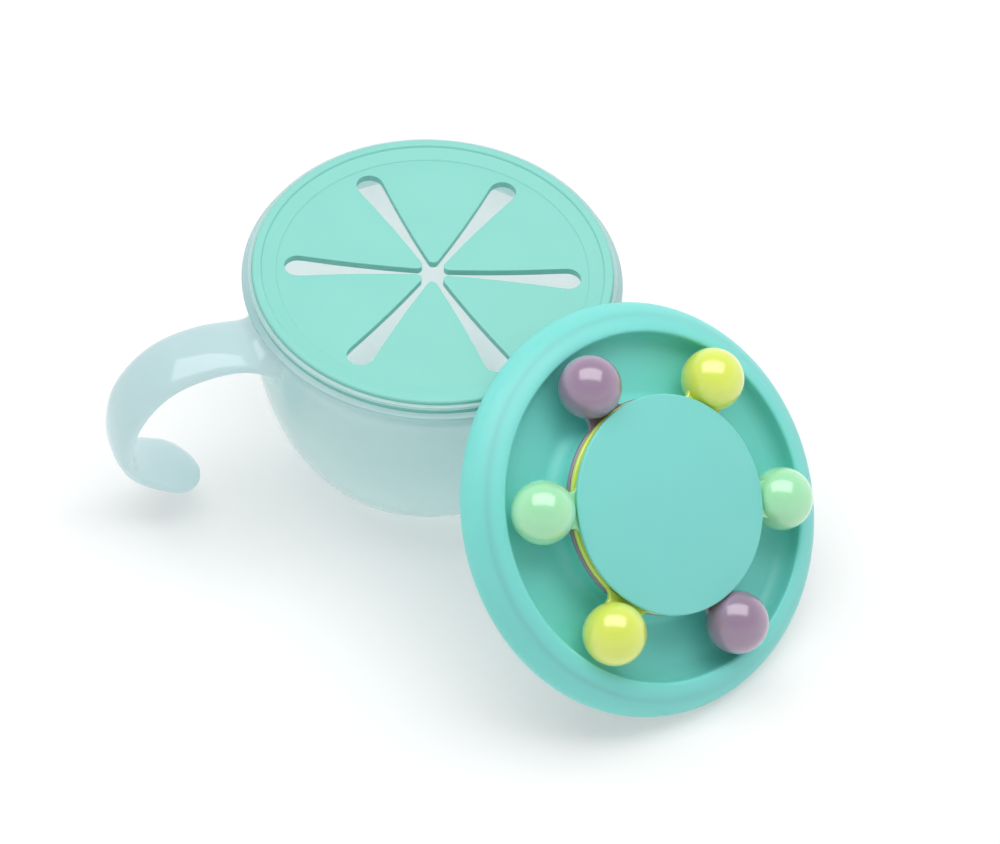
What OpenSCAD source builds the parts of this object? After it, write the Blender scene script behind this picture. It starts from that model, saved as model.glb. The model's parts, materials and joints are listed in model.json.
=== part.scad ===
// Toddler snack container: a cup with a hooked handle, a soft six-flap finger
// trap in its mouth, and a snap lid that carries three spinning ball rotors.
// The lid is off and leans on the rim.  Millimetres, +Z up, origin at the
// centre of the cup's foot, handle along -X.

/* [Cup] */
// Outer radius of the cup at its belly
cup_r = 49.7; // [48:0.1:53]
// Height of the rim, where the trap ring sits
cup_h = 68; // [66:0.5:74]
// Height of the belly's widest level
belly_z = 52.5; // [49:0.5:56]
// Half height of the ellipse that the belly follows down to the foot
belly_drop = 66; // [62:0.5:90]
// Height where the belly runs into the rounded bottom corner
corner_z = 11; // [7:0.5:14]
// Wall of the cup
cup_wall = 1.8; // [1.4:0.1:2.4]
// How far the ledge under the rim stands out from the wall
ledge_out = 3.3; // [2.4:0.1:4.4]
// Thickness of the ledge
ledge_t = 1; // [0.8:0.1:2]

/* [Handle] */
// Reach of the handle's centre line from the cup's axis
handle_reach = 91.5; // [88:0.5:105]
// Height of the top of the handle's centre line
handle_top = 59.3; // [57:0.1:61]
// Height of the handle's free tip
handle_low = 10; // [8:0.5:14]
// Gap that the free tip leaves to the belly's radius
tip_gap = 18.3; // [16:0.1:24]
// Width of the strap
handle_w = 19; // [16:0.5:24]
// Thickness of the strap
handle_t = 5.2; // [4:0.1:6.5]
// Extra width where the strap runs into the cup
root_flare = 7; // [4:0.5:14]
// Fillet between the strap and the cup
root_fillet = 6; // [3:0.5:8]

/* [Finger trap] */
// Radius of the hard ring's flange
flange_r = 51.5; // [51.2:0.1:52.5]
// Thickness of the hard ring's flange
flange_t = 1; // [0.8:0.1:1.4]
// Height of the groove that the lid snaps into
groove_h = 1.7; // [1.4:0.1:2.2]
// Depth of the groove under the flange's edge
groove_d = 0.6; // [0.4:0.1:1]
// Depth of the ring's plug inside the cup
plug_h = 8; // [5:0.5:12]
// Wall of the ring's plug
plug_wall = 1.9; // [1.4:0.1:2.4]
// Thickness of the soft sheet
sheet_t = 2; // [1.6:0.1:2.4]
// Radius where the soft sheet starts to rise to its edge
rise_r = 43.3; // [42.8:0.1:44.5]
// Radius of the soft sheet's outer edge
sheet_r = 50.2; // [49.6:0.1:50.8]
// Height of the soft edge over the sheet's middle
rise_h = 1.8; // [1.2:0.1:2.4]
// Radius at which the round ends of the slots lie
slot_end_r = 37.5; // [36.5:0.1:38.3]
// Radius of the slots' round ends
slot_end_round = 3.8; // [3.2:0.1:4.2]
// Distance of the flaps' tips from the centre
tip_r = 3.7; // [3:0.1:5]
// Rounding of the flaps' tips
tip_round = 1.5; // [1:0.1:2]
// How far the flaps' sides bow out
flap_bow = 0.35; // [0:0.05:0.6]
// Turn of the slots about the cup's axis
trap_turn = -21; // [-30:1:30]

/* [Lid] */
// Radius of the lid's soft outer edge
lid_r = 57.1; // [56.6:0.1:60]
// Depth from the dish's mouth to the skirt's lower edge
lid_depth = 10.7; // [10.2:0.1:12]
// Radius of the dish's mouth
mouth_r = 48; // [47.8:0.1:49]
// Height of the rolled edge
bead_h = 7.6; // [7:0.1:8]
// Wall of the lid
lid_wall = 1.6; // [1.4:0.1:1.8]
// Depth of the trough that the balls run in
trough_depth = 6.8; // [6.3:0.1:7.2]
// Rounding of the trough's corners
trough_round = 4; // [3:0.1:4.6]
// Radius of the raised middle under the rotors
island_r = 28.8; // [27:0.1:29.2]
// Height of the raised middle over the dish's mouth
island_h = 0.55; // [0.2:0.05:0.6]
// Tilt of the leaning lid
lean_tilt = 44; // [40:1:50]
// Direction in which the lid leans away from the cup
lean_turn = -65; // [-80:1:-50]

/* [Spinner] */
// Radius of the balls
ball_r = 8.8; // [8:0.1:8.9]
// Radius of the circle that the balls run on
ball_path_r = 39.1; // [39:0.1:39.4]
// Height of the balls' centres over the dish's mouth
ball_z = 3.8; // [3.6:0.1:4.4]
// Thickness of a rotor's ring
rotor_t = 1.5; // [1.2:0.1:1.5]
// Radius of the hub that the rotors turn on
hub_r = 14; // [10:0.5:18]
// Wall of the hub
hub_wall = 2; // [1.6:0.1:2.4]
// Radius of the lower rotor's ring
rotor_r = 30; // [28:0.1:30]
// Radius of the middle cap
cap_r = 30.3; // [29:0.1:30.4]
// Thickness of the cap's edge
cap_edge = 1.15; // [0.9:0.05:1.4]
// Crown of the cap
cap_crown = 1; // [0.4:0.1:2]
// Radius of the hollow between a rotor's ring and its ball
neck_round = 2.5; // [2:0.1:3]
// Turn of the lower, middle and upper rotor
rotor_turns = [184, 122, 62]; // [0:1:360]

/* [Clearances] */
// Gap at a flap's hinge, and between pieces that move past each other
gap = 0.3; // [0.2:0.05:0.4]
// Axial gap over and under each rotor
rotor_gap = 0.35; // [0.25:0.05:0.4]
// Radial gap between a rotor and its hub
hub_fit = 0.08; // [0.05:0.01:0.1]
// Radial gap between the trap ring's plug and the cup
plug_fit = 0.3; // [0.1:0.05:0.4]

/* [Hidden] */
$fn = 96;
edge_soft = 0.2;

cup_color = [0.72, 0.85, 0.86];
ring_color = [0.66, 0.82, 0.83];
sheet_color = [0.62, 0.90, 0.85];
lid_color = [0.50, 0.84, 0.80];
purple = [0.61, 0.49, 0.63];
yellow = [0.82, 0.90, 0.38];
green = [0.63, 0.90, 0.70];

// ---- helpers ----
// Points round a centre, from one angle to another.
function arc(c, r, from, to, steps = 6) =
    [for (i = [0 : steps]) let(a = from + (to - from) * i / steps) c + r * [cos(a), sin(a)]];
function reversed(list) = [for (i = [len(list) - 1 : -1 : 0]) list[i]];

// ---- cup ----
arc_steps = 8;
belly_steps = 14;
ledge_r = cup_r + ledge_out;
bore_r = cup_r - cup_wall;

// A point of the belly's ellipse at height z, and its outward normal.
function belly_r(z) = cup_r * sqrt(1 - pow((belly_z - z) / belly_drop, 2));
function belly_normal(z) =
    let(n = [belly_r(z) / pow(cup_r, 2), (z - belly_z) / pow(belly_drop, 2)]) n / norm(n);
// The belly's lean from upright where the bottom corner starts.
corner_lean = atan2(-belly_normal(corner_z)[1], belly_normal(corner_z)[0]);
corner_round = corner_z / (1 - sin(corner_lean));
foot_r = belly_r(corner_z) - corner_round * cos(corner_lean);

// Outline of the cup's skin, a wall's thickness "inset" inside the outer face.
function skin(inset) = concat(
    [for (i = [0 : arc_steps]) let(a = (90 - corner_lean) * i / arc_steps)
        [foot_r + (corner_round - inset) * sin(a), corner_round - (corner_round - inset) * cos(a)]],
    [for (i = [1 : belly_steps]) let(z = corner_z + (belly_z - corner_z) * i / belly_steps)
        [belly_r(z), z] - inset * belly_normal(z)]);

// ---- handle ----
root_depth = 5;
handle_points = [
    [cup_r - root_depth, handle_top - 6],
    [cup_r + 6.8, handle_top - 0.4],
    [cup_r + 17.8, handle_top],
    [handle_reach - 11.5, handle_top - 2.9],
    [handle_reach - 2, handle_top - 14.8],
    [handle_reach, handle_top - 25],
    [handle_reach - 0.4, handle_low + 9.8],
    [cup_r + tip_gap, handle_low]];
root_stations = 14;
root_share = 0.14;
fillet_edge = 0.4;
body_stations = 20;
tip_stations = 6;
tip_share = 0.06;
section_sides = 20;
section_squareness = 0.7;
flare_share = 0.2;

// Cubic B-spline through the handle's control points, s from 0 to 1.
spline = concat([2 * handle_points[0] - handle_points[1]], handle_points,
    [2 * handle_points[len(handle_points) - 1] - handle_points[len(handle_points) - 2]]);
spans = len(spline) - 3;
function blend_at(q, i, t) =
    (pow(1 - t, 3) * q[i] + (3 * pow(t, 3) - 6 * t * t + 4) * q[i + 1]
    + (-3 * pow(t, 3) + 3 * t * t + 3 * t + 1) * q[i + 2] + pow(t, 3) * q[i + 3]) / 6;
function slope_at(q, i, t) =
    (-3 * pow(1 - t, 2) * q[i] + (9 * t * t - 12 * t) * q[i + 1]
    + (-9 * t * t + 6 * t + 3) * q[i + 2] + 3 * t * t * q[i + 3]) / 6;
function span_of(s) = min(floor(s * spans), spans - 1);
function spline_at(s) = blend_at(spline, span_of(s), s * spans - span_of(s));
function spline_dir(s) =
    let(d = slope_at(spline, span_of(s), s * spans - span_of(s))) d / norm(d);

// Each station is [place along the spline, size of the section there].
stations = concat(
    [for (i = [0 : root_stations - 1]) [root_share * i / root_stations, 1]],
    [for (i = [0 : body_stations - 1])
        [root_share + (1 - tip_share - root_share) * i / body_stations, 1]],
    [for (i = [0 : tip_stations - 1]) let(a = 84 * i / (tip_stations - 1))
        [1 - tip_share + tip_share * sin(a), cos(a)]]);
function strap_w(s) = handle_w + root_flare * pow(max(0, 1 - s / flare_share), 2);
fillet_high = 0.85 * root_fillet;
function squared(x) = sign(x) * pow(abs(x), section_squareness);
// How far the root's fillet stands out from the strap at a place off the belly's wall.
function fillet_at(x, y, z) =
    let(off = min(max(abs(norm([x, y]) - belly_r(z)), fillet_edge), root_fillet))
    root_fillet - sqrt(pow(root_fillet, 2) - pow(root_fillet - off, 2));
// One ring of points round the strap, the handle lying in the XZ plane.
function section(station) =
    let(s = station[0], c = spline_at(s), d = spline_dir(s), n = [-d[1], d[0]],
        thick = handle_t / 2 * (0.4 + 0.6 * station[1]))
    [for (j = [0 : section_sides - 1])
        let(a = 360 * j / section_sides,
            across = strap_w(s) / 2 * station[1] * squared(cos(a)),
            out = thick * squared(sin(a)),
            far = out + fillet_high * sin(a),
            wide = across + fillet_high * cos(a),
            more = s > root_share ? 0 : fillet_at(c[0] + n[0] * far, wide, c[1] + n[1] * far),
            up = out + more * sin(a))
        [c[0] + n[0] * up, across + more * cos(a), c[1] + n[1] * up]];

// ---- finger trap ----
seat_z = cup_h + groove_h;
ring_top = seat_z + flange_t;
sheet_z = ring_top - 0.7;
sheet_edge_z = sheet_z + rise_h;
sheet_soft = 0.6;
plug_r = bore_r - plug_fit;
ring_in_r = plug_r - plug_wall;
hinge_r = slot_end_r * cos(30);
hinge_z = sheet_z - sheet_t / 2;
// A flap's side leaves its round tip as the inner tangent to the slot's round end.
tip_c = [tip_r + tip_round, 0];
end_c = [hinge_r, slot_end_r / 2];
side_angle = atan2(end_c[1] - tip_c[1], end_c[0] - tip_c[0])
    - asin((tip_round + slot_end_round) / norm(end_c - tip_c));
side_dir = [cos(side_angle), sin(side_angle)];
side_normal = [-sin(side_angle), cos(side_angle)];
side_start = tip_c + tip_round * side_normal;
side_end = side_start + (hinge_r - side_start[0]) / side_dir[0] * side_dir;
side_steps = 6;
function flap_side(y_sign) = [for (i = [1 : side_steps]) let(t = i / side_steps,
    p = side_start + t * (side_end - side_start) + 4 * flap_bow * t * (1 - t) * side_normal)
    [p[0], y_sign * p[1]]];
root_r = sheet_t / 2;
flap_plan = concat(
    arc(tip_c, tip_round, 90 + side_angle, 270 - side_angle, 10),
    flap_side(-1),
    [[hinge_r + root_r, -side_end[1]], [hinge_r + root_r, side_end[1]]],
    reversed(flap_side(1)));
flap_profile = concat(
    [[0, sheet_z - sheet_t]], arc([hinge_r, hinge_z], root_r, -90, 90, 12), [[0, sheet_z]]);

// ---- lid ----
lip = 0.8;
bead_power = 1.26;
skirt_round = 2;
skirt_wall = 1.9;
bead_steps = 9;
snap_t = 1.3;
snap_r = flange_r + 0.4;
snap_bottom = lid_depth - 0.4;
snap_hook = 0.6;
trough_c = [mouth_r - trough_round, trough_round - trough_depth];
island_c = [island_r + trough_round, trough_round - trough_depth];

// The rolled edge is a superellipse quadrant from its top, at r0, down to r1.
function bead(r0, r1, top, h) = [for (i = [0 : bead_steps]) let(a = 90 * i / bead_steps)
    [r0 + (r1 - r0) * pow(sin(a), bead_power), top - h * (1 - pow(cos(a), bead_power))]];

lid_outside = concat(
    bead(mouth_r + lip, lid_r, 0, bead_h),
    arc([lid_r - skirt_round, skirt_round - lid_depth], skirt_round, 0, -90));
lid_inside = concat(
    reversed(bead(mouth_r + lid_wall, lid_r - skirt_wall, -lid_wall, bead_h - lid_wall)),
    arc(trough_c, trough_round + lid_wall, 0, -90, 4),
    arc(island_c, trough_round + lid_wall, 270, 180, 4));
lid_outline = concat(
    [[0, island_h]],
    arc([island_r - lip, island_h - lip], lip, 90, 0, 3),
    arc(island_c, trough_round, 180, 270),
    arc(trough_c, trough_round, -90, 0),
    arc([mouth_r + lip, -lip], lip, 180, 110, 3),
    lid_outside,
    [[lid_r - skirt_wall, -lid_depth]],
    lid_inside,
    [[island_r - lid_wall, island_h - lid_wall], [0, island_h - lid_wall]]);

// The leaning lid's lowest point is on the floor, and its underside comes a gap
// short of the rim's corners, at the trough's floor or at its rounded corner.
lean_z = max([for (p = lid_outside) p[0] * sin(lean_tilt) - p[1] * cos(lean_tilt)]);
trough_out = trough_c[0] * cos(lean_tilt) - trough_c[1] * sin(lean_tilt);
trough_up = trough_c[0] * sin(lean_tilt) + trough_c[1] * cos(lean_tilt);
rim_corners = [
    [flange_r - edge_soft, ring_top],
    [sheet_r, sheet_edge_z - sheet_soft],
    [sheet_r - sheet_soft, sheet_edge_z]];
function lean_at(p) =
    let(depth = trough_depth + lid_wall + gap,
        up_slope = (p[1] - lean_z + depth * cos(lean_tilt)) / sin(lean_tilt))
    up_slope < trough_c[0]
        ? p[0] + up_slope * cos(lean_tilt) + depth * sin(lean_tilt)
        : p[0] + trough_out
            + sqrt(pow(trough_round + lid_wall + gap, 2) - pow(p[1] - lean_z - trough_up, 2));
lean_x = max([for (p = rim_corners) lean_at(p)]);

// ---- spinner ----
function rotor_z(level) = island_h + rotor_gap + level * (rotor_t + rotor_gap);
rotor_rs = [rotor_r, rotor_r - 0.1, rotor_r - 0.6];
cap_z = rotor_z(3);
cap_top = cap_z + cap_edge;
cap_steps = 10;
hub_in = hub_r - hub_wall;
stem_fit = 0.07;
stem_wall = 2;
rib = 0.2;
rib_z = island_h + 2;
rib_t = 0.6;

// ---- cup pieces ----
module cup_body() {
    color(cup_color) difference() {
        union() {
            rotate_extrude() polygon(concat(
                [[0, 0]], skin(0),
                [[cup_r, cup_h - ledge_t - edge_soft], [ledge_r - edge_soft, cup_h - ledge_t],
                 [ledge_r, cup_h - ledge_t + edge_soft], [ledge_r, cup_h - edge_soft],
                 [ledge_r - edge_soft, cup_h], [0, cup_h]]));
            handle();
        }
        rotate_extrude() polygon(concat(
            [[0, cup_wall]], skin(cup_wall), [[bore_r, cup_h + 1], [0, cup_h + 1]]));
    }
}

// The strap: rings of points along the spline, skinned into one closed solid.
module handle() {
    rings = [for (station = stations) section(station)];
    n = section_sides;
    last = len(rings) - 1;
    points = [for (ring = rings) for (p = ring) p];
    sides = [for (i = [0 : last - 1]) for (j = [0 : n - 1])
        [i * n + j, (i + 1) * n + j, (i + 1) * n + (j + 1) % n, i * n + (j + 1) % n]];
    ends = [[for (j = [0 : n - 1]) j], [for (j = [n - 1 : -1 : 0]) last * n + j]];
    rotate([0, 0, 180]) polyhedron(points, concat(sides, ends));
}

// ---- trap pieces ----
module trap_ring() {
    lead = 0.4;
    seat_r = sheet_r + 0.1;
    color(ring_color) rotate_extrude() polygon([
        [ring_in_r, cup_h - plug_h], [plug_r - lead, cup_h - plug_h],
        [plug_r, cup_h - plug_h + lead], [plug_r, cup_h],
        [flange_r - groove_d, cup_h], [flange_r - groove_d, seat_z],
        [flange_r, seat_z], [flange_r, ring_top - edge_soft], [flange_r - edge_soft, ring_top],
        [seat_r, ring_top], [seat_r, seat_z], [ring_in_r, seat_z]]);
}

// Places a child at each of the six slots or flaps.
module around(turn) {
    for (i = [0 : 5]) rotate([0, 0, trap_turn + turn + 60 * i]) children();
}

module trap_sheet() {
    color(sheet_color) difference() {
        rotate_extrude() polygon([
            [0, sheet_z - sheet_t], [ring_in_r - 0.2, sheet_z - sheet_t],
            [ring_in_r - 0.2, seat_z], [sheet_r, seat_z], [sheet_r, sheet_edge_z - sheet_soft],
            [sheet_r - sheet_soft, sheet_edge_z], [rise_r, sheet_z], [0, sheet_z]]);
        translate([0, 0, sheet_z - sheet_t - 1]) {
            rotate([0, 0, trap_turn]) cylinder(r = slot_end_r, h = sheet_t + 2, $fn = 6);
            around(0) translate([slot_end_r, 0]) cylinder(r = slot_end_round, h = sheet_t + 2);
        }
        around(30) translate([hinge_r, 0, hinge_z]) rotate([90, 0, 0])
            cylinder(r = root_r + gap, h = slot_end_r, center = true);
    }
}

// One soft flap: its plan, cut to a profile whose root is round about the hinge line.
module flap(number) {
    color(sheet_color) rotate([0, 0, trap_turn - 30 + 60 * number]) intersection() {
        translate([0, 0, sheet_z - sheet_t - 1]) linear_extrude(sheet_t + 2) polygon(flap_plan);
        rotate([90, 0, 0]) linear_extrude(slot_end_r, center = true) polygon(flap_profile);
    }
}
module flap_1() { flap(1); }
module flap_2() { flap(2); }
module flap_3() { flap(3); }
module flap_4() { flap(4); }
module flap_5() { flap(5); }
module flap_6() { flap(6); }

// ---- lid pieces, made about the dish's mouth and then leant on the cup ----
module on_lid() {
    rotate([0, 0, lean_turn]) translate([lean_x, 0, lean_z]) rotate([0, lean_tilt, 0]) children();
}

module lid_shell() {
    color(lid_color) on_lid() {
        rotate_extrude() polygon(lid_outline);
        snap_wall();
        hub();
    }
}

// The inner wall that snaps over the trap ring's flange.
module snap_wall() {
    top = -lid_wall - 0.4;
    rotate_extrude() polygon([
        [snap_r, top], [snap_r, -snap_bottom + 1.8], [snap_r - snap_hook, -snap_bottom + 1.2],
        [snap_r - snap_hook, -snap_bottom + 0.7], [snap_r, -snap_bottom],
        [snap_r + snap_t, -snap_bottom], [snap_r + snap_t, top - 0.3]]);
}

// The tube that the rotors turn on, grooved inside for the cap's stem.
module hub() {
    rotate_extrude() polygon([
        [hub_in, island_h - lid_wall / 2], [hub_r, island_h - lid_wall / 2], [hub_r, cap_z - 0.3],
        [hub_r - 0.3, cap_z], [hub_in, cap_z], [hub_in, rib_z + rib_t + 0.2],
        [hub_in + rib + 0.1, rib_z + rib_t], [hub_in + rib + 0.1, rib_z], [hub_in, rib_z - 0.2]]);
}

// A ring on the hub with two balls, joined to it by hollow-sided necks.
module rotor(level) {
    z = rotor_z(level);
    ring_r = rotor_rs[level];
    face = max(abs(z - ball_z), abs(z + rotor_t - ball_z));
    ball_face_r = sqrt(pow(ball_r, 2) - pow(face, 2));
    to_ring = ring_r + neck_round;
    to_ball = ball_face_r + neck_round;
    neck_x = (pow(to_ring, 2) - pow(to_ball, 2) + pow(ball_path_r, 2)) / (2 * ball_path_r);
    neck_y = sqrt(pow(to_ring, 2) - pow(neck_x, 2));
    on_lid() rotate([0, 0, rotor_turns[level]]) difference() {
        union() {
            translate([0, 0, z]) cylinder(r = ring_r, h = rotor_t);
            for (half = [0, 180]) rotate([0, 0, half]) {
                translate([0, 0, z]) linear_extrude(rotor_t) difference() {
                    polygon([[hub_r + hub_wall, 0], [neck_x, -neck_y], [ball_path_r, 0], [neck_x, neck_y]]);
                    for (side = [-1, 1]) translate([neck_x, side * neck_y]) circle(r = neck_round);
                }
                translate([ball_path_r, 0, ball_z]) sphere(r = ball_r);
            }
        }
        translate([0, 0, z - 1]) cylinder(r = hub_r + hub_fit, h = rotor_t + 2);
    }
}
module rotor_lower() { color(purple) rotor(0); }
module rotor_middle() { color(yellow) rotor(1); }
module rotor_upper() { color(green) rotor(2); }

// The crowned cap over the rotors, on a stem that snaps into the hub.
module spinner_cap() {
    soft = 0.35;
    stem_r = hub_in - stem_fit;
    color(lid_color) on_lid() {
        rotate_extrude() polygon(concat(
            [[0, cap_z], [cap_r - soft, cap_z], [cap_r, cap_z + soft], [cap_r, cap_top - soft]],
            [for (i = [0 : cap_steps]) let(r = (cap_r - soft) * (1 - i / cap_steps))
                [r, cap_top + cap_crown * (1 - pow(r / (cap_r - soft), 2))]]));
        rotate_extrude() polygon([
            [stem_r - stem_wall, island_h + gap], [stem_r - gap, island_h + gap],
            [stem_r, island_h + 2 * gap], [stem_r, rib_z], [stem_r + rib, rib_z],
            [stem_r, rib_z + rib_t], [stem_r, cap_z + cap_edge / 2],
            [stem_r - stem_wall, cap_z + cap_edge / 2]]);
    }
}

cup_body();
trap_ring();
trap_sheet();
flap_1();
flap_2();
flap_3();
flap_4();
flap_5();
flap_6();
lid_shell();
rotor_lower();
rotor_middle();
rotor_upper();
spinner_cap();
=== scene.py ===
"""Toddler snack cup: hooked cup, soft finger trap, snap lid with ball rotors."""

import json
import math

import bpy
from mathutils import Matrix, Vector


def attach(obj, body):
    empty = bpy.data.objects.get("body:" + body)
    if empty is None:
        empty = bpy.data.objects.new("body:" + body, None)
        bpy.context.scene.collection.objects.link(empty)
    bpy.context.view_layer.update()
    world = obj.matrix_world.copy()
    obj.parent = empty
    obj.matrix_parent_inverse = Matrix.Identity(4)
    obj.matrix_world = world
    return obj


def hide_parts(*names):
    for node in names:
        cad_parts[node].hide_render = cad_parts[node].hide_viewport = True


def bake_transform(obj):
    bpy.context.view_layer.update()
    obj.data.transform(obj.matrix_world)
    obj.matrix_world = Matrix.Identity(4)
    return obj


bl_info = {
    "name": "Toddler snack cup",
    "version": (1, 0, 0),
    "blender": (4, 5, 0),
    "location": "View3D > Sidebar > Snack cup",
    "description": "Models a toddler's snack cup with a finger trap and a ball-rotor lid",
    "category": "Add Mesh",
}

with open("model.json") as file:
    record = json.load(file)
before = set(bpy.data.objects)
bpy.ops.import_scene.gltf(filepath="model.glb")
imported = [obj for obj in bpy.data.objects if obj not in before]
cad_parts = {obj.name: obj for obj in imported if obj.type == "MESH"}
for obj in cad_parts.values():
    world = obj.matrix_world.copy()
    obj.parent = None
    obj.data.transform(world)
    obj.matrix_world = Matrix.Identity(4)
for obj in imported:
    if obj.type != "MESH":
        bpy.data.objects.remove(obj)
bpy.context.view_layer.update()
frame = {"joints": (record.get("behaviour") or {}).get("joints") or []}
JOINTS = {joint["name"]: joint for joint in frame["joints"]}
LID_CENTRE = Vector(JOINTS["lower_spin"]["pos_m"])
LID_AXIS = Vector(JOINTS["lower_spin"]["axis"])
MM = 0.001
# Places closer together than this count as the same.
TOUCH = 0.01 * MM


def linear(hex_code):
    """Turns an sRGB hex colour into linear red, green and blue."""
    channels = [int(hex_code[i : i + 2], 16) / 255 for i in (0, 2, 4)]
    return tuple(c / 12.92 if c <= 0.04045 else ((c + 0.055) / 1.055) ** 2.4 for c in channels)


def length(name, description, default):
    return bpy.props.FloatProperty(
        name=name, description=description, default=default, min=0.0, unit="LENGTH", precision=5
    )


def colour(name, description, hex_code):
    return bpy.props.FloatVectorProperty(
        name=name, description=description, default=linear(hex_code), subtype="COLOR", min=0, max=1
    )


class CupSizes(bpy.types.PropertyGroup):
    radius: length("Radius", "Outer radius of the cup at its belly", 0.0497)
    rim_height: length("Rim height", "Height of the rim", 0.068)
    belly_height: length("Belly height", "Height of the widest level", 0.0525)
    belly_drop: length("Belly drop", "Half height of the ellipse the belly follows", 0.066)
    corner_height: length("Corner height", "Where the belly meets the bottom corner", 0.011)
    wall: length("Wall", "Wall thickness", 0.0018)
    ledge_out: length("Ledge", "How far the ledge stands out", 0.0033)
    ledge_thickness: length("Ledge thickness", "Thickness of the ledge", 0.001)
    reach: length("Handle reach", "Reach of the handle's centre line", 0.0915)
    handle_top: length("Handle top", "Height of the top of the centre line", 0.0593)
    handle_low: length("Handle low", "Height of the free tip", 0.010)
    tip_gap: length("Tip gap", "Gap between the free tip and the belly's radius", 0.0183)
    strap_width: length("Strap width", "Width of the handle's strap", 0.019)
    strap_out: length("Strap outside", "From the centre line to the strap's outer side", 0.00255)
    strap_crown: length("Strap crown", "Height of the rounded outer side over the edges", 0.0034)
    strap_back: length("Strap back", "Height of the flatter inner side under the edges", 0.0018)
    strap_bulb: length("Strap tip", "Extra width at the strap's free tip", 0.0016)
    root_flare: length("Root flare", "Extra width where the strap meets the cup", 0.007)
    fillet: length("Root fillet", "Rounding between the strap and the cup", 0.006)


class TrapSizes(bpy.types.PropertyGroup):
    flange_radius: length("Flange radius", "Radius of the hard ring's flange", 0.0515)
    flange_thickness: length("Flange thickness", "Thickness of the flange", 0.001)
    groove_height: length("Groove height", "Height of the groove under the flange", 0.0017)
    groove_depth: length("Groove depth", "Depth of that groove", 0.0006)
    seal: length("Seal", "How far the soft seal stands out of the groove's bottom", 0.0001)
    plug_depth: length("Plug depth", "How deep the ring plugs into the cup", 0.008)
    plug_wall: length("Plug wall", "Wall of the plug", 0.0019)
    plug_fit: length("Plug fit", "Gap between the plug and the cup", 0.0003)
    sheet: length("Sheet", "Thickness of the soft sheet", 0.002)
    rise_radius: length("Rise radius", "Where the sheet starts to rise", 0.0433)
    edge_radius: length("Edge radius", "Radius of the sheet's edge", 0.0502)
    rise: length("Rise", "Height of the edge over the sheet's middle", 0.0018)
    slot_radius: length("Slot radius", "Radius at which the slots end", 0.0375)
    slot_round: length("Slot end", "Radius of the slots' round ends", 0.0038)
    tip_radius: length("Tip radius", "Distance of the flaps' tips from the centre", 0.0037)
    tip_round: length("Tip rounding", "Rounding of the flaps' tips", 0.0015)
    bow: length("Bow", "How far the flaps' sides bow out", 0.00035)
    turn: bpy.props.FloatProperty(
        name="Turn", description="Turn of the slots", default=math.radians(-21), unit="ROTATION"
    )


class LidSizes(bpy.types.PropertyGroup):
    radius: length("Radius", "Radius of the lid's rolled edge", 0.0571)
    depth: length("Depth", "Depth of the skirt below the dish's mouth", 0.0107)
    mouth: length("Mouth", "Radius of the dish's mouth", 0.048)
    bead: length("Bead", "Height of the rolled edge", 0.0076)
    wall: length("Wall", "Wall thickness", 0.0016)
    trough: length("Trough", "Depth of the trough", 0.0068)
    trough_round: length("Trough rounding", "Rounding of the trough's corners", 0.004)
    island: length("Island", "Radius of the raised middle", 0.0288)
    island_height: length("Island height", "Height of the raised middle", 0.00055)
    hub: length("Hub", "Radius of the hub", 0.014)
    hub_wall: length("Hub wall", "Wall of the hub", 0.002)
    snap: length("Snap wall", "Inner radius of the snap wall", 0.0519)


class SpinnerSizes(bpy.types.PropertyGroup):
    ball: length("Ball", "Radius of a ball", 0.0088)
    path: length("Path", "Radius of the circle the balls run on", 0.0391)
    ball_height: length("Ball height", "Height of the balls over the dish's mouth", 0.0038)
    plate: length("Plate", "Thickness of a rotor's ring", 0.0015)
    spacing: length("Spacing", "Gap over and under each rotor", 0.00035)
    hub_fit: length("Hub fit", "Gap between a rotor and the hub", 0.00008)
    ring: length("Ring", "Radius of the lower rotor's ring", 0.030)
    neck: length("Neck", "Radius of the hollow beside a neck", 0.0025)
    cap: length("Cap", "Radius of the cap", 0.0303)
    cap_edge: length("Cap edge", "Thickness of the cap's edge", 0.00115)
    cap_crown: length("Cap crown", "Crown of the cap", 0.0018)


class Finishes(bpy.types.PropertyGroup):
    cup: colour("Cup", "Frosted polypropylene", "EFFAFB")
    strap: colour("Handle", "Frosted polypropylene of the handle", "D0E8EB")
    ring: colour("Ring", "Frosted polypropylene of the ring", "E4F6F6")
    trap: colour("Trap", "Soft elastomer", "85CDC2")
    lid: colour("Lid", "Opaque polypropylene", "7CD9D1")
    cap: colour("Cap", "The cap's polypropylene", "7AD2CA")
    purple: colour("Purple", "Lower rotor", "987F9A")
    yellow: colour("Yellow", "Middle rotor", "DDEB5E")
    green: colour("Green", "Upper rotor", "A2E6B3")
    floor: colour("Floor", "Paper sweep", "FAFAFA")


SIZES = {
    "snack_cup": CupSizes,
    "snack_trap": TrapSizes,
    "snack_lid": LidSizes,
    "snack_spinner": SpinnerSizes,
    "snack_finish": Finishes,
}


# ---- working in edit mode ----
def deselect_all():
    if bpy.context.object is not None and bpy.context.object.mode != "OBJECT":
        bpy.ops.object.mode_set(mode="OBJECT")
    bpy.ops.object.select_all(action="DESELECT")


def select(obj, *others):
    """Selects objects and makes the first one active."""
    deselect_all()
    for part in (obj, *others):
        part.select_set(True)
    bpy.context.view_layer.objects.active = obj


def leave_edit():
    bpy.ops.object.mode_set(mode="OBJECT")


def select_all():
    bpy.ops.mesh.select_all(action="SELECT")


def extrude(x, y, z):
    bpy.ops.mesh.extrude_region_move(TRANSFORM_OT_translate={"value": (x, y, z)})


def edit(obj):
    """Opens an object in edit mode, with nothing selected."""
    select(obj)
    bpy.ops.object.mode_set(mode="EDIT")
    bpy.ops.mesh.select_mode(type="VERT")
    bpy.ops.mesh.select_all(action="DESELECT")


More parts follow.
